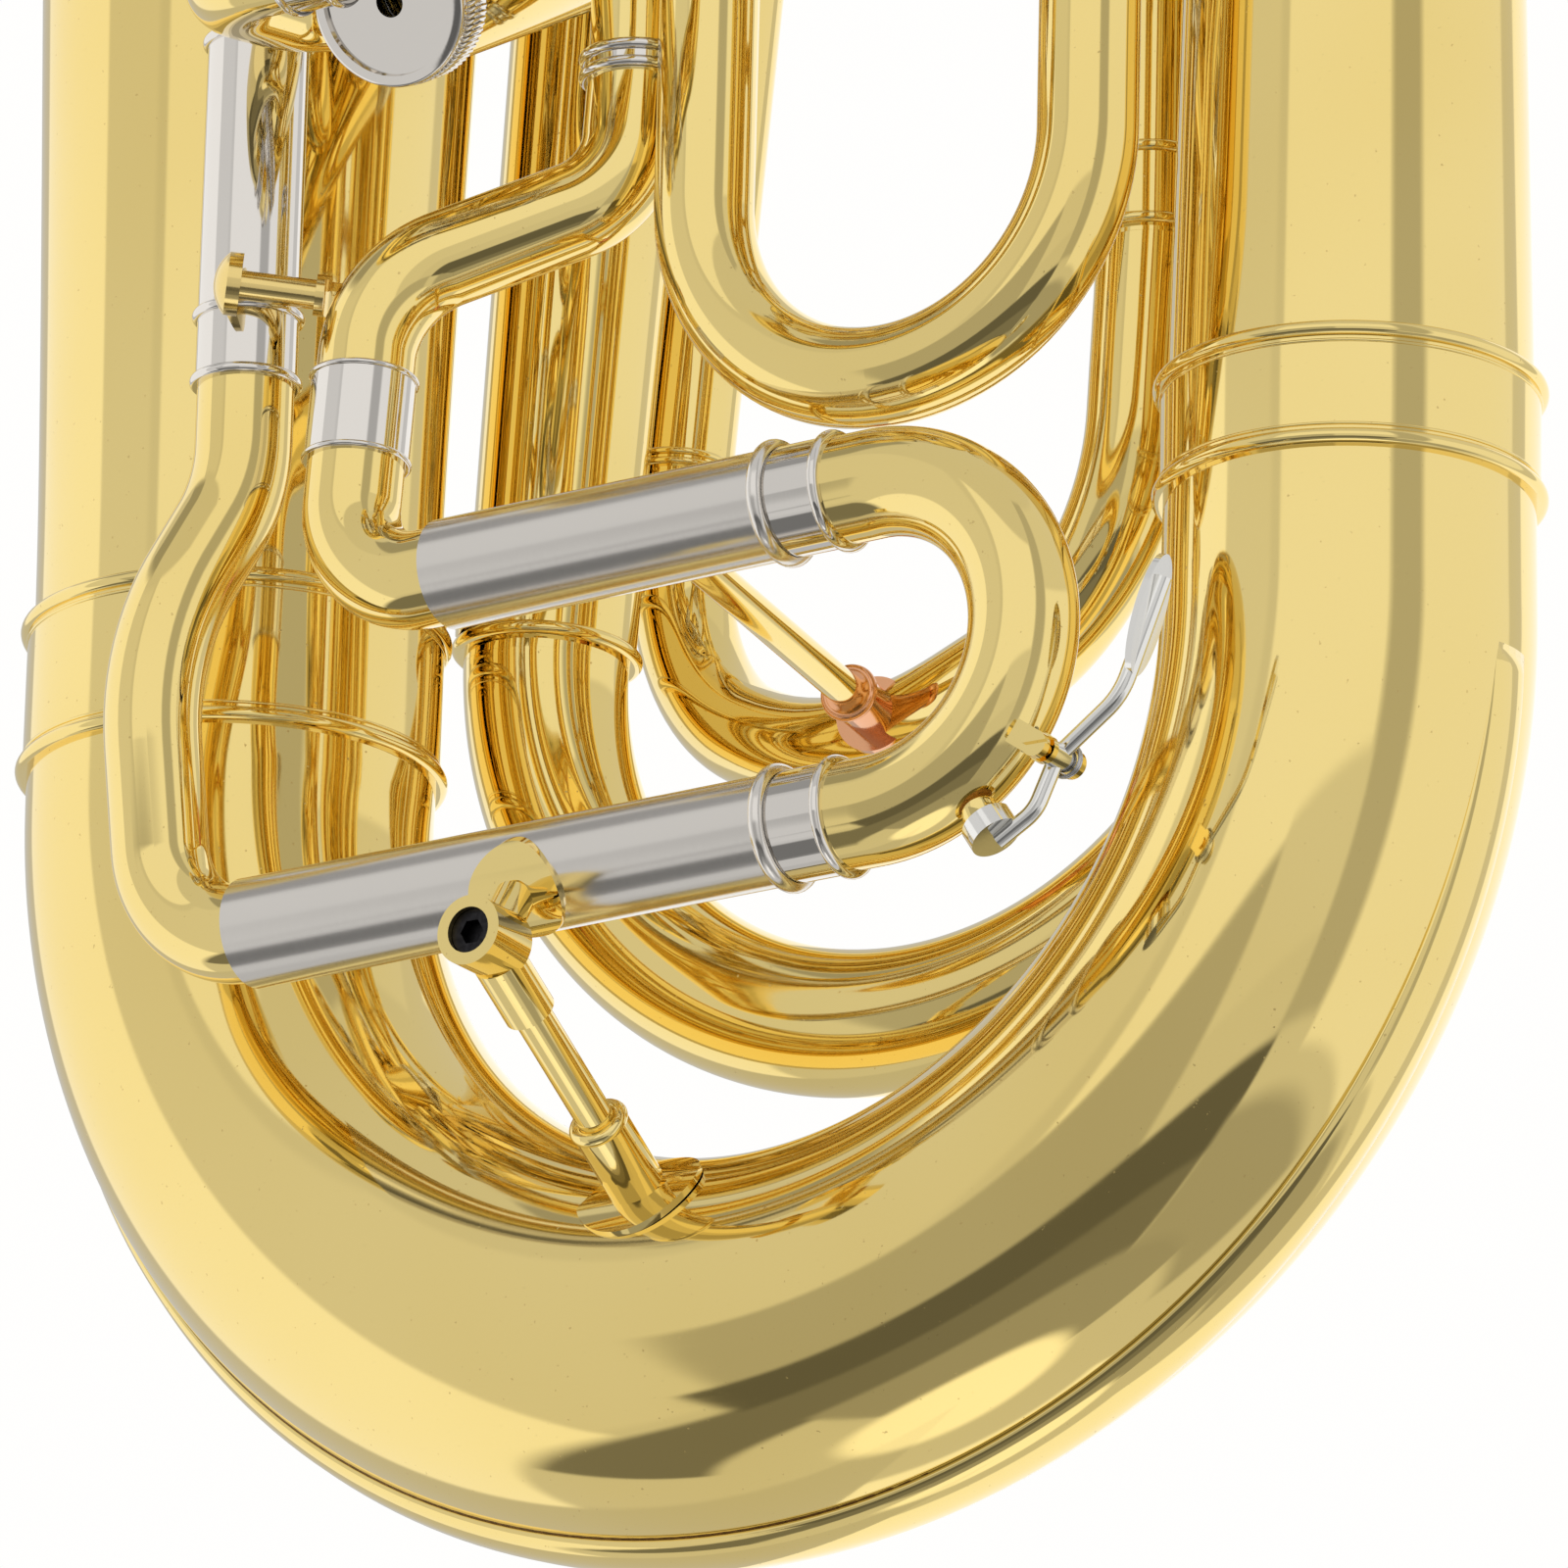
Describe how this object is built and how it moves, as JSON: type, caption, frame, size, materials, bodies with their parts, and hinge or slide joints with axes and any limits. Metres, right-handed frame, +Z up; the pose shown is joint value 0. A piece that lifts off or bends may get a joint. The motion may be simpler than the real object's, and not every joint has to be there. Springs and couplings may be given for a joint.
{
  "type": "tuba",
  "caption": "Bass brass instrument with an upright bell, looped conical tubing, spring-loaded piston valves, pulling slides and a sprung water key.",
  "frame": {"origin": "lowest point of the guard under the bottom bow, on the plane of the bell and outer branch axes", "axes": "+Z up along the bell towards its rim, +X from the bell to the outer branch, +Y towards the finger buttons, the player's side is -Y"},
  "size_m": [0.5057, 0.4094, 0.9796],
  "materials": {
    "brass": "clear lacquered, mirror polished",
    "nickel": "nickel silver, satin on the slide tubes, polished on sleeves and caps",
    "silver": "polished silver plate",
    "copper": "lacquered copper",
    "black_steel": "black oxide, satin",
    "spring_steel": "drawn wire",
    "cork": "matt, grained"
  },
  "bodies": {
    "horn": {"bell": "brass", "bell_rim_wire": "brass", "bell_ferrule": "brass", "bottom_bow": "brass", "bottom_bow_guard": "brass", "branch_ferrule": "brass", "outer_branch": "brass", "top_bow": "brass", "inner_branch": "brass", "inner_bottom_bow": "brass", "inner_up_branch": "brass", "second_top_bow": "brass", "small_down_branch": "brass", "small_bottom_bow": "brass", "bore_ferrules": "brass", "leadpipe": "brass", "mouthpiece_receiver": "nickel", "leadpipe_sleeve": "nickel", "lower_crook": "brass", "tuning_outer_tubes": "nickel", "upper_crook": "brass", "crook_ferrules": "nickel", "valve_casing_1": "brass", "valve_casing_2": "brass", "valve_casing_3": "brass", "valve_casing_4": "brass", "valve_knuckles": "brass", "bottom_caps": "nickel", "top_caps": "nickel", "valve_springs": "spring_steel", "feed_pipe": "brass", "exit_pipe": "brass", "valve_tubing_1": "nickel", "valve_tubing_2": "nickel", "valve_tubing_3": "nickel", "valve_tubing_4": "nickel", "strut_brace": "brass", "strut_screw": "black_steel", "tube_braces": "brass", "copper_socket": "copper", "sleeve_clamp": "brass", "thumb_ring": "brass"},
    "main_slide": {"main_slide_legs": "nickel", "main_slide_bow": "brass", "water_key_saddle": "brass", "water_key_spring": "spring_steel"},
    "water_key": {"water_key_lever": "silver", "water_key_cork": "cork"},
    "valve_1": {"piston_1": "nickel", "finger_button_1": "silver"},
    "slide_1": {"valve_slide_1": "brass"},
    "valve_2": {"piston_2": "nickel", "finger_button_2": "silver"},
    "slide_2": {"valve_slide_2": "brass"},
    "valve_3": {"piston_3": "nickel", "finger_button_3": "silver"},
    "slide_3": {"valve_slide_3": "brass"},
    "valve_4": {"piston_4": "nickel", "finger_button_4": "silver"},
    "slide_4": {"valve_slide_4": "brass"}
  },
  "joints": [
    {"name": "main_slide_pull", "type": "slide", "parent": "horn", "child": "main_slide", "axis": [0.9997, 0, 0.0227], "range_m": [0, 0.06]},
    {"name": "water_key_press", "type": "hinge", "parent": "main_slide", "child": "water_key", "pos_m": [0.10727, -0.07, 0.12899], "axis": [0, -1, 0], "range_deg": [0, 14], "stiffness_Nm_per_rad": 0.6, "springref_deg": -28.65, "deforming": ["water_key_spring"]},
    {"name": "valve_1_press", "type": "slide", "parent": "horn", "child": "valve_1", "axis": [0, -0.866, -0.5], "range_m": [0, 0.017], "stiffness_N_per_m": 150, "springref_m": -0.02, "deforming": ["valve_springs"]},
    {"name": "valve_2_press", "type": "slide", "parent": "horn", "child": "valve_2", "axis": [0, -0.866, -0.5], "range_m": [0, 0.017], "stiffness_N_per_m": 150, "springref_m": -0.02},
    {"name": "valve_3_press", "type": "slide", "parent": "horn", "child": "valve_3", "axis": [0, -0.866, -0.5], "range_m": [0, 0.017], "stiffness_N_per_m": 150, "springref_m": -0.02},
    {"name": "valve_4_press", "type": "slide", "parent": "horn", "child": "valve_4", "axis": [0, -0.866, -0.5], "range_m": [0, 0.017], "stiffness_N_per_m": 150, "springref_m": -0.02},
    {"name": "slide_1_pull", "type": "slide", "parent": "horn", "child": "slide_1", "axis": [0, 0, 1], "range_m": [0, 0.035]},
    {"name": "slide_2_pull", "type": "slide", "parent": "horn", "child": "slide_2", "axis": [0, 0, 1], "range_m": [0, 0.03]},
    {"name": "slide_3_pull", "type": "slide", "parent": "horn", "child": "slide_3", "axis": [0, 0, 1], "range_m": [0, 0.045]},
    {"name": "slide_4_pull", "type": "slide", "parent": "horn", "child": "slide_4", "axis": [0, 0, 1], "range_m": [0, 0.06]}
  ]
}
